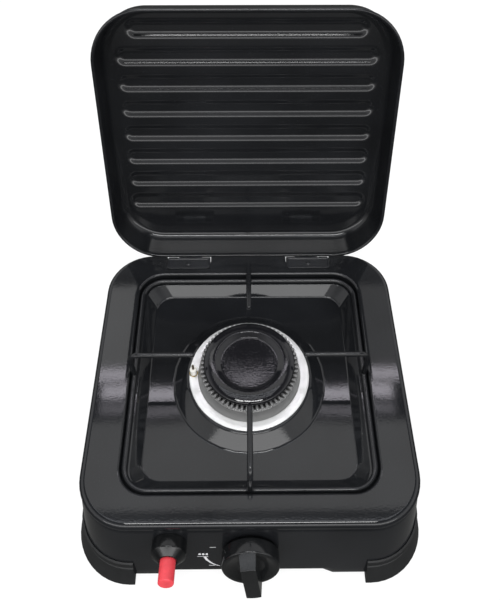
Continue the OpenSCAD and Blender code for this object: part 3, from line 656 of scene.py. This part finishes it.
class STOVE_OT_support(bpy.types.Operator):
    """Builds the pan support: a wire frame, its four fingers and the welds where they meet."""
    bl_idname = "stove.support"
    bl_label = "Pan support"

    def execute(self, context):
        r = context.scene.stove_sizes.mm("wire") / 2
        half, z0, corner = WIRE_HIGH.x - r, LEDGE + r, 19.0
        finger = r - 0.1
        top, bend, inner = WIRE_HIGH.z - finger, 8.0, 46.0
        coat = ("dipped_black_wire_enamel", "support", "support_enamel")
        wire("support_frame_wire", rounded(-half, half, -half, half, corner, z0, 12, 1), r, *coat,
             closed=True, replaces=["pan_support"])
        for i in range(4):
            turn = Matrix.Rotation(math.pi / 2 * i, 4, "Z")
            path = [(half, 0, z0), (half, 0, top - bend)]
            path += [(x, 0, z) for x, z in arc(half - bend, top - bend, bend, 0, 90, 10)[1:]]
            path += [(inner, 0, top)]
            wire(f"support_finger_{i + 1}", path, finger, *coat, turn=turn, replaces=["pan_support"])
            bm = bmesh.new()
            bmesh.ops.create_uvsphere(bm, u_segments=20, v_segments=12, radius=finger,
                                      matrix=Matrix.Translation((inner, 0, top)))
            bead = Matrix.Translation((half, 0, z0 + 0.9)) @ Matrix.Diagonal((0.85, 1.3, 0.9, 1))
            bmesh.ops.create_uvsphere(bm, u_segments=20, v_segments=12, radius=r + 0.6, matrix=bead)
            keep(f"support_weld_{i + 1}", bm, *coat, ["pan_support"], turn=turn)
        return {"FINISHED"}


class STOVE_OT_burner(bpy.types.Operator):
    """Builds the burner: spun ring and bowl, toothed crown and enamelled cap."""
    bl_idname = "stove.burner"
    bl_label = "Burner"

    def execute(self, context):
        self.ring()
        self.crown(context.scene.stove_sizes.mm("tooth_gap"))
        self.cap()
        return {"FINISHED"}

    def ring(self):
        z, r = RING_Z, RING_R
        spun_sheet = ("spun_aluminium", "stove", "burner_alu", ["burner_cup"])
        face = [(36, z + 1.6), (36, z - 0.4), (r - 0.5, z)] + arc(r - 0.9, z + 0.8, 0.9, -60, 60, 4)
        face += [(r - 2.9, z + 1.75), (r - 3.5, z + 1.55), (r - 6, z + 1.6)]
        spun_piece("burner_ring", face, 128, *spun_sheet)
        bm = bmesh.new()
        spun(bm, [(38, z - 0.3), (36.5, z - 17.2), (9.6, z - 21.2), (9.6, z - 24), (7.6, z - 24),
                  (7.6, z - 19), (35, z - 15), (36, z - 0.3)], 96)
        soften(keep("burner_bowl", bm, *spun_sheet), 0.6)

    def crown(self, gap):
        z0, z1, r, r0, slot = CROWN_LOW.z, CROWN_HIGH.z, CROWN_HIGH.x - 2.6, CROWN_HIGH.x - 6.8, 2.8
        # the crown's finish is the ring's aluminium darkened as painted shade for its place under the cap
        shaded_casting = ("cast_aluminium", "stove", "crown_alu", ["burner_crown"])
        wall = [(r0, z0), (r + 2.4, z0)] + arc(r + 1.8, z0 + 0.8, 0.8, -60, 70, 3)
        wall += [(r + 0.7, z0 + 9), (r, z0 + 10.8), (r, z1 - slot), (r0, z1 - slot)]
        spun_piece("burner_crown_wall", wall, 120, *shaded_casting)
        bm = bmesh.new()
        count, mid = 60, (r + r0) / 2
        width = 2 * r * math.sin(math.pi / count) - gap
        for k in range(count):
            tooth = block(bm, r0 + 0.1, r, -width / 2, width / 2, z1 - slot - 0.4, z1)
            bmesh.ops.scale(bm, vec=(1, 0.8, 1), verts=[v for v in tooth if v.co.x < mid])
            turn = Matrix.Rotation(2 * math.pi * (k + 0.5) / count, 3, "Z")
            bmesh.ops.rotate(bm, cent=(0, 0, 0), matrix=turn, verts=tooth)
        soften(keep("burner_crown_teeth", bm, *shaded_casting), 0.35)

    def cap(self):
        z, r = CAP_Z, CAP_R
        top = [(36.2, z - 1.8), (36.8, z - 1.6), (36.95, z - 0.7), (r - 0.3, z + 0.2)]
        top += arc(r - 2.6, z + 2.6, 2.6, -25, 65, 8)
        top += [(r - 2.9, z + 5.6), (r - 4.6, z + 6.1), (r - 7.0, z + 6.45), (28.6, z + 6.6), (27.9, z + 6.5),
                (27.3, z + 6.2), (24.1, z + 3.8), (23.5, z + 3.6), (22.4, z + 3.52), (17, z + 3.5),
                (11, z + 3.5), (5, z + 3.5), (0.01, z + 3.5)]
        under = [(0.01, z + 0.2), (32, z + 0.2), (32, z - 4), (35.9, z - 4), (35.9, z - 1.8)]
        spun_piece("burner_cap_dish", top + under, 96, "thick_black_cap_enamel", "cap", "cap_enamel",
                   ["burner_cap"])


class STOVE_OT_feet(bpy.types.Operator):
    """Builds the four corner feet, each swept round its corner of the skirt."""
    bl_idname = "stove.feet"
    bl_label = "Feet"

    def execute(self, context):
        height = context.scene.stove_sizes.mm("foot_height")
        front_lean = math.tan(math.radians(25)) - math.tan(FRONT)
        side_lean = math.tan(math.radians(15)) - math.tan(SIDE)
        steps = [("front", t) for t in (0.0, 0.35, 0.7, 1.0)]
        steps += [("turn", i / 12) for i in range(1, 12)] + [("side", t) for t in (0.0, 0.35, 0.7, 1.0)]
        for rear in (False, True):
            for side in (-1, 1):
                loops = []
                for kind, t in steps:
                    turned_by = {"front": 0.0, "side": 1.0}.get(kind, t)
                    lean = (side_lean if rear else front_lean) * (1 - turned_by) + side_lean * turned_by
                    base = (1.0 if rear else 2.6) * (1 - turned_by) + turned_by
                    loops.append([self.station(kind, t, d, z, rear)
                                  for d, z in self.section(height, base, lean)])
                bm = bmesh.new()
                first, last = loft(bm, loops)
                bmesh.ops.edgeloop_fill(bm, edges=first)
                bmesh.ops.edgeloop_fill(bm, edges=last)
                flip = Matrix.Diagonal((side, -1 if rear else 1, 1, 1))
                bmesh.ops.transform(bm, matrix=flip, verts=bm.verts)
                node = f"foot_{'rear' if rear else 'front'}_{'left' if side < 0 else 'right'}"
                soften(keep(node + "_guard", bm, "satin_black_foot_plastic", "stove", "foot_plastic", [node]),
                       0.7, 3, 30)
        return {"FINISHED"}

    @staticmethod
    def section(height, base, lean):
        """A foot's section, as distance out from the skirt and height."""
        def out(z):
            return base + (height - z) * lean
        return [(-14, 0), (out(0) - 1, 0), (out(0.5), 1.0), (out(9), 9), (out(height - 0.7), height - 0.7),
                (out(height) - 0.9, height), (1.9, height - 0.1), (1.75, height + 3.5), (0.5, height + 4),
                (0.15, height + 3.7), (0.1, SKIRT_Z), (-1.5, SKIRT_Z), (-1.6, 14), (-3.7, 14),
                (-3.7, SKIRT_Z), (-14, SKIRT_Z)]

    @staticmethod
    def station(kind, t, out, z, rear):
        """A point of the section on its way round the +x corner at the front."""
        xs, yw, r = side_x(z), (-rear_y(z) if rear else wall_y(z)), CORNER
        # the foot's two ends, along the front and along the side
        x0, y0 = side_x(0) - 44, (-84.0 if rear else -90.0)
        if kind == "front":
            return Vector((x0 + (xs - r - x0) * t, yw - out, z))
        if kind == "turn":
            a = math.radians(-90 + 90 * t)
            return Vector((xs - r + (r + out) * math.cos(a), yw + r + (r + out) * math.sin(a), z))
        return Vector((xs + out, (yw + r) + (y0 - (yw + r)) * t, z))


class STOVE_OT_hinges(bpy.types.Operator):
    """Builds the two hinge plates with their knuckles and rivets, and the rivets of the lid's straps."""
    bl_idname = "stove.hinges"
    bl_label = "Hinges"

    def execute(self, context):
        for side, word in ((-1, "left"), (1, "right")):
            x = side * HINGE_X
            half, y0, y1, r = HINGE_W / 2, AXIS_Y - 15, AXIS_Y - 3.1, 3.0
            bm = bmesh.new()
            outline = [(x + px, py, TOP) for px, py in arc(-half + r, y0 + r, r, 180, 270, 5)
                       + arc(half - r, y0 + r, r, 270, 360, 5) + [(half, y1), (-half, y1)]]
            top = prism(bm, outline, (0, 0, 1.6))
            # a bead runs round the edge, and the middle lies lower
            bmesh.ops.inset_region(bm, faces=top, thickness=1.5, depth=0)
            bmesh.ops.inset_region(bm, faces=top, thickness=0.5, depth=-0.55)
            for end in (-1, 1):
                near, far = x + end * 11.4, x + end * half
                # the plate's rear end, turned down to the knuckle
                block(bm, min(near, far), max(near, far), AXIS_Y - 4.4, AXIS_Y - 3.0, AXIS_Z, TOP + 0.8)
                knuckle = bmesh.new()
                spun(knuckle, [(1.52, 0), (3.6, 0), (3.6, half - 11.4), (1.52, half - 11.4)], 32)
                place = Matrix.Translation((min(near, far), AXIS_Y, AXIS_Z)) @ \
                    Matrix.Rotation(math.pi / 2, 4, "Y")
                bmesh.ops.transform(knuckle, matrix=place, verts=knuckle.verts)
                self.join(bm, knuckle)
            node = f"hinge_bracket_{word}"
            soften(keep(f"hinge_plate_{word}", bm, "black_painted_steel", "stove", "hinge_black", [node]),
                   0.4, 3)
            place = Matrix.Translation((x * MM, (AXIS_Y - 9.8) * MM, (TOP + 1) * MM))
            self.rivet(f"hinge_rivet_{word}", place, 2.3, 1.3, "black_painted_steel", "stove", "hinge_black")
            # the lid's straps are riveted through its rear wall
            for up in (9.0, 16.0):
                y = LID_REAR - up * math.tan(DRAFT) + 1.4
                place = lid_opened() @ Matrix.Translation((x * MM, y * MM, (LID_Z + up) * MM)) @ \
                    Matrix.Rotation(-math.pi / 2 - DRAFT, 4, "X")
                self.rivet(f"strap_rivet_{word}_{int(up)}", place, 2.6, 1.4, "zinc_plated_steel", "lid",
                           "strap_steel")
        return {"FINISHED"}

    @staticmethod
    def join(bm, part):
        """Adds one bmesh to another."""
        mesh = bpy.data.meshes.new("part")
        part.to_mesh(mesh)
        part.free()
        bm.from_mesh(mesh)
        bpy.data.meshes.remove(mesh)

    @staticmethod
    def rivet(name, place, r, height, material, body, slot):
        """A domed rivet head standing on a surface."""
        bm = bmesh.new()
        dome = [(r * math.cos(math.radians(a)), height * math.sin(math.radians(a))) for a in range(0, 90, 15)]
        spun(bm, [(0.001, -0.3), (r, -0.3)] + dome + [(0.001, height)], 24)
        keep(name, bm, material, body, slot, turn=place)


class STOVE_OT_knob(bpy.types.Operator):
    """Builds the control knob: a dished disc with a grip bar across it."""
    bl_idname = "stove.knob"
    bl_label = "Knob"

    def execute(self, context):
        sizes = context.scene.stove_sizes
        r, t, stand = sizes.mm("knob") / 2, 14.5, 1.5
        place = on_panel(0, KNOB_Z) @ Matrix.Rotation(math.radians(7), 4, "Z")
        disc = [(0.001, t - 2.5), (r / 2 - 0.6, t - 2.5), (r / 2 + 0.4, t - 2.3), (r - 3.6, t - 0.25),
                (r - 2.9, t)] + arc(r - 1.2, t - 1.2, 1.2, 90, 0, 5)
        disc += [(r, stand + 2.2), (r - 0.8, stand + 1.8), (r - 0.8, stand), (11, stand), (11, 6), (5.1, 6),
                 (5.1, 10.8), (0.001, 10.8)]
        phenolic = ("black_phenolic", "knob", "knob_plastic", ["knob"])
        spun_piece("knob_disc", disc, 120, *phenolic, turn=place)
        # the grip is a slice of a round bar, a little narrower at its top, with a leaning upper end
        width, low, high = sizes.mm("grip_width") / 2, t - 4, t + 11
        bm = bmesh.new()
        middle = Matrix.Translation((0, 0, (low + high) / 2))
        bmesh.ops.create_cone(bm, cap_ends=True, segments=96, radius1=r - 0.5, radius2=r - 0.9,
                              depth=high - low, matrix=middle)
        for side in (-1, 1):
            trim(bm, (side * (width + 1), 0, low), (side * (high - low), 0, 1))
        trim(bm, (0, r - 0.8, t), (0, high - t, 4.0))
        soften(keep("knob_grip", bm, *phenolic, turn=place), 1.5, 5, 40)
        return {"FINISHED"}


class STOVE_OT_igniter(bpy.types.Operator):
    """Builds the igniter's collar and its red push button."""
    bl_idname = "stove.igniter"
    bl_label = "Igniter"

    def execute(self, context):
        sizes = context.scene.stove_sizes
        place = on_panel(IGNITER_X, IGNITER_Z)
        r, b, straight, nose = sizes.mm("collar") / 2, sizes.mm("button") / 2, 10.5, 4.0
        collar = [(7.6, 0), (r - 0.4, 0), (r, 0.4), (r, straight - 1.0)]
        collar += arc(r - 1.1, straight - 1.1, 1.1, 0, 60, 4)
        tip = straight + nose
        collar += [(b + 1.9, tip - 0.2), (b + 1.2, tip), (b + 0.25, tip - 0.3), (b + 0.15, 6), (7.6, 6)]
        spun_piece("igniter_ring", collar, 96, "gloss_black_collar_plastic", "stove", "collar_black",
                   ["igniter_collar"], turn=place)
        end = tip + 16.5
        plunger = [(0.001, end), (b - 1.6, end)] + arc(b - 1.1, end - 1.1, 1.1, 75, 0, 5)
        plunger += [(b, -21), (0.001, -21)]
        spun_piece("igniter_plunger", plunger, 64, "red_button_plastic", "button", "button_red",
                   ["igniter_button"], turn=place)
        return {"FINISHED"}


class STOVE_OT_marks(bpy.types.Operator):
    """Prints the control marks beside the knob: three flames, a tapered turn arc and two dashes."""
    bl_idname = "stove.marks"
    bl_label = "Panel marks"

    def execute(self, context):
        line = context.scene.stove_sizes.mm("mark")
        flame = [(0, -1.3), (0.75, -1.05), (1.05, -0.35), (0.8, 0.45), (0.25, 1.5), (-0.15, 0.75),
                 (-0.55, 0.9), (-1.0, 0.1), (-1.0, -0.7), (-0.6, -1.15)]
        for i in range(3):
            self.show(f"mark_flame_{i + 1}", [(x - 38.4 + i * 2.7, y - 4.9) for x, y in flame])
        self.bar("mark_flame_line", -40.3, -32.0, -8.0, line * 0.8)
        outer, inner = [], []
        for i in range(13):
            t = i / 12
            # from under the flames down to the knob's edge, closing in and growing thinner
            r, a = 35.6 - 4.2 * t * t, math.radians(-166 + 28.5 * t)
            w = 0.3 + 2.0 * (1 - t) ** 0.8
            for edge, reach in ((outer, r + w / 2), (inner, r - w / 2)):
                edge.append((reach * math.cos(a), reach * math.sin(a)))
        self.show("mark_turn_arc", outer + inner[::-1])
        self.bar("mark_dash_top", -30.5, -25.9, 4.0, line)
        self.bar("mark_dash_low", -31.9, -27.3, -20.3, line)
        return {"FINISHED"}

    def bar(self, name, x0, x1, y, w):
        self.show(name, [(x0, y - w / 2), (x1, y - w / 2), (x1, y + w / 2), (x0, y + w / 2)])

    def show(self, name, outline):
        """A thin printed shape on the front panel, in mm from the knob's middle."""
        bm = bmesh.new()
        prism(bm, [(x, y, 0.01) for x, y in outline], (0, 0, 0.05))
        bmesh.ops.triangulate(bm, faces=bm.faces)
        keep(name, bm, "white_screen_ink", "stove", "enamel", turn=on_panel(0, KNOB_Z), smooth=False)


class STOVE_OT_solids(bpy.types.Operator):
    """Gives the solids that stay as they are their real finishes."""
    bl_idname = "stove.solids"
    bl_label = "Kept solids"

    def execute(self, context):
        table = {
            "zinc_plated_steel": ["hinge_pin_left", "hinge_pin_right", "burner_clamp", "venturi_bracket",
                                  "valve_nut", "valve_spindle", "inlet_nut", "lid_strap_left",
                                  "lid_strap_right"],
            "drawn_steel_tube": ["venturi_tube"],
            "turned_brass": ["injector", "gas_valve", "gas_inlet", "knob_insert"],
            "drawn_aluminium_tube": ["gas_pipe"],
            "off_white_moulding": ["igniter_body"],
            "black_silicone_lead": ["ignition_lead"],
            "glazed_ceramic": ["electrode_ceramic"],
            "heat_browned_wire": ["electrode_pin"],
            "passivated_clip": ["electrode_clip"],
        }
        for name, nodes in table.items():
            for node in nodes:
                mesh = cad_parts[node].data
                mesh.materials.clear()
                mesh.materials.append(finish(name))
        return {"FINISHED"}


class STOVE_OT_stage(bpy.types.Operator):
    """Sets the camera, the pale floor and the soft lights."""
    bl_idname = "stove.stage"
    bl_label = "Stage"

    def execute(self, context):
        scene = context.scene
        scene.view_settings.view_transform = "Standard"
        self.camera(scene)
        self.floor(scene)
        self.world(scene)
        # a row of lamps over the rear gives the bright bands across flange, tray and cone
        violet = (0.95, 0.91, 1.0)
        self.lamp("strip_lamp", (0, 0.737, 1.6), 1.0, 0.05, 1.0, violet)
        self.lamp("thin_lamp", (0, 0.672, 1.6), 1.0, 0.028, 0.19, violet)
        self.lamp("rear_ceiling", (0, 0.49, 1.62), 1.3, 0.3, 1.3)
        # rows of panels over the front, with gaps between them
        for i in range(4):
            self.lamp(f"ceiling_row_{i + 1}", (0, 0.25 - 0.17 * i, 1.62), 1.3, 0.1, 0.9, (0.92, 0.95, 1.0))
        # a lamp above the camera gives the thin lines on every edge that turns up to it
        self.lamp("top_lamp", (0, -0.6, 1.6), 0.85, 0.18, 9)
        for side, name, power in ((-1, "left", 0.58), (1, "right", 0.24)):
            self.lamp(f"end_lamp_{name}", (side * 0.5, 0.80, 1.6), 0.22, 0.045, 0.19, violet)
            self.lamp(f"rear_panel_{name}", (side * 0.58, 1.0, 1.6), 0.36, 0.35, power)
        self.lamp("front_panel", (0, -1.5, 0.88), 3.0, 0.34, 8.5, to=(0, 0, 0.06))
        return {"FINISHED"}

    def camera(self, scene):
        """A view from above the front; the focal length is for an image 500 wide and 600 high."""
        data = bpy.data.cameras.new("camera")
        data.sensor_width = 36
        data.lens = 653.9 * 36 / 600
        data.shift_y = (249.19 - 300) / 600
        data.clip_start = 0.01
        eye = bpy.data.objects.new("camera", data)
        scene.collection.objects.link(eye)
        eye.matrix_world = Matrix.Translation((-0.0026, -0.26098, 0.56149)) @ \
            Matrix.Rotation(-0.0111, 4, "Z") @ Matrix.Rotation(math.pi / 2 - 0.9004, 4, "X") @ \
            Matrix.Rotation(0.0037, 4, "Z")
        scene.camera = eye

    def floor(self, scene):
        """White to the camera; to gloss it shows a painted pool of light round the object that fades away, as
        a lit table does.
        """
        bm = bmesh.new()
        bmesh.ops.create_grid(bm, x_segments=2, y_segments=2, size=3.0)
        mesh = bpy.data.meshes.new("floor")
        bm.to_mesh(mesh)
        bm.free()
        ground = bpy.data.objects.new("floor", mesh)
        scene.collection.objects.link(ground)
        material, tree, place = bare("pale_floor")
        rays = add(tree, "LightPath", {})
        reach = add(tree, "VectorMath", {0: place}, operation="LENGTH")[1]
        # painted pool of light: to gloss the floor glows brighter within 0.15 m of the object and dims by 0.3
        # m
        near = add(tree, "MapRange", {"Value": reach, "From Min": 0.15, "From Max": 0.3, "To Min": 0.18,
                                      "To Max": 0.05})[0]
        white = add(tree, "Emission", {"Color": (1, 1, 1, 1), "Strength": 0.84})[0]
        painted_pool_glow = add(tree, "Emission", {"Color": (1, 1, 0.97, 1), "Strength": near})[0]
        paint = add(tree, "BsdfDiffuse", {"Color": (0.2, 0.2, 0.2, 1)})[0]
        shown = add(tree, "AddShader", {0: white, 1: paint})[0]
        gloss = add(tree, "Math", {0: rays["Is Glossy Ray"], 1: rays["Is Transmission Ray"]},
                    operation="MAXIMUM")[0]
        mixed = add(tree, "MixShader", {0: gloss, 1: shown, 2: painted_pool_glow})[0]
        add(tree, "OutputMaterial", {"Surface": mixed})
        mesh.materials.append(material)

    def world(self, scene):
        """White behind the object; gloss mirrors a studio with pale walls and a dark ceiling."""
        world = bpy.data.worlds.new("studio")
        scene.world = world
        world.use_nodes = True
        tree = world.node_tree
        tree.nodes.clear()
        rays = add(tree, "LightPath", {})
        up = add(tree, "SeparateXYZ", {0: add(tree, "TexCoord", {})["Generated"]})[2]
        dark = (0.05, 0.05, 0.05, 1)
        heights = [(0.0, dark), (0.3, (0.9, 0.9, 0.9, 1)), (0.68, (0.8, 0.8, 0.82, 1)), (0.82, dark)]
        wall = add(tree, "ValToRGB", {"Fac": up}, heights)[0]
        shown = add(tree, "Mix", {"Factor": rays["Is Camera Ray"], 6: wall, 7: (1, 1, 1, 1)},
                    data_type="RGBA")[2]
        gloss = add(tree, "Math", {0: rays["Is Glossy Ray"], 1: rays["Is Transmission Ray"]},
                    operation="MAXIMUM")[0]
        seen = add(tree, "Math", {0: rays["Is Camera Ray"], 1: gloss}, operation="MAXIMUM")[0]
        dim = add(tree, "Background", {"Color": (0.97, 0.98, 1, 1), "Strength": 0.8})[0]
        backdrop = add(tree, "Background", {"Color": shown, "Strength": 1.0})[0]
        mixed = add(tree, "MixShader", {0: seen, 1: dim, 2: backdrop})[0]
        add(tree, "OutputWorld", {"Surface": mixed})

    def lamp(self, name, at, wide, deep, power, colour=(1, 1, 1), to=None):
        """A soft rectangular lamp that faces a point, or the floor straight below it."""
        data = bpy.data.lights.new(name, "AREA")
        data.shape = "RECTANGLE"
        data.size, data.size_y = wide, deep
        data.energy = power
        data.color = colour
        lamp = bpy.data.objects.new(name, data)
        bpy.context.scene.collection.objects.link(lamp)
        way = Vector(to or (at[0], at[1], 0)) - Vector(at)
        facing = way.to_track_quat("-Z", "Y").to_matrix().to_4x4()
        lamp.matrix_world = Matrix.Translation(at) @ facing


# ---- add-on ----

PIECES = [STOVE_OT_stage, STOVE_OT_body, STOVE_OT_lid, STOVE_OT_support, STOVE_OT_burner, STOVE_OT_feet,
          STOVE_OT_hinges, STOVE_OT_knob, STOVE_OT_igniter, STOVE_OT_marks, STOVE_OT_solids]


class STOVE_PT_panel(bpy.types.Panel):
    """Lists the stove's pieces, sizes and colours in the sidebar."""
    bl_label = "Stove"
    bl_idname = "STOVE_PT_panel"
    bl_space_type = "VIEW_3D"
    bl_region_type = "UI"
    bl_category = "Stove"

    def draw(self, context):
        for piece in PIECES:
            self.layout.operator(piece.bl_idname)
        for group in (context.scene.stove_sizes, context.scene.stove_colours):
            for key in type(group).__annotations__:
                self.layout.prop(group, key)


CLASSES = [StoveSizes, StoveColours] + PIECES + [STOVE_PT_panel]


def register():
    for cls in CLASSES:
        bpy.utils.register_class(cls)
    bpy.types.Scene.stove_sizes = PointerProperty(type=StoveSizes)
    bpy.types.Scene.stove_colours = PointerProperty(type=StoveColours)


def unregister():
    del bpy.types.Scene.stove_colours
    del bpy.types.Scene.stove_sizes
    for cls in reversed(CLASSES):
        bpy.utils.unregister_class(cls)


def main():
    """Builds every piece in order."""
    register()
    bpy.ops.stove.stage()
    bpy.ops.stove.body()
    bpy.ops.stove.lid()
    bpy.ops.stove.support()
    bpy.ops.stove.burner()
    bpy.ops.stove.feet()
    bpy.ops.stove.hinges()
    bpy.ops.stove.knob()
    bpy.ops.stove.igniter()
    bpy.ops.stove.marks()
    bpy.ops.stove.solids()


if __name__ == "__main__":
    main()
